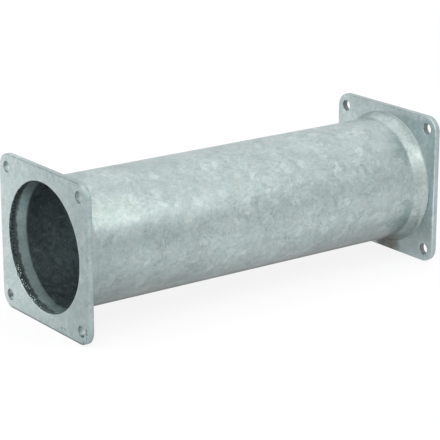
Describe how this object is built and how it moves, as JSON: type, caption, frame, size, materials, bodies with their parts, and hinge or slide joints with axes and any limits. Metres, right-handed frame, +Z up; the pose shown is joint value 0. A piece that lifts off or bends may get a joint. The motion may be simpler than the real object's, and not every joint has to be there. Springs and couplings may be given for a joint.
{
  "type": "flanged pipe",
  "caption": "Short galvanised steel pipe with belled ends welded to square bolting flanges, for carrying water through a wall or between flanged pipes.",
  "frame": {"origin": "on the ground below the middle of the pipe, level with the lower edges of both plates", "axes": "+X along the pipe from the front flange to the rear flange, +Z up, square to the lower edges of the plates"},
  "size_m": [0.55, 0.2, 0.2],
  "materials": {
    "galvanised_tube": "hot-dip galvanised, dull with a soft spangle",
    "galvanised_plate": "hot-dip galvanised, dull with a soft spangle",
    "galvanised_weld": "weld bead under a hot-dip zinc coat"
  },
  "bodies": {
    "root": {"pipe": "galvanised_tube", "front_flange": "galvanised_plate", "rear_flange": "galvanised_plate", "front_weld": "galvanised_weld", "rear_weld": "galvanised_weld"}
  },
  "joints": []
}
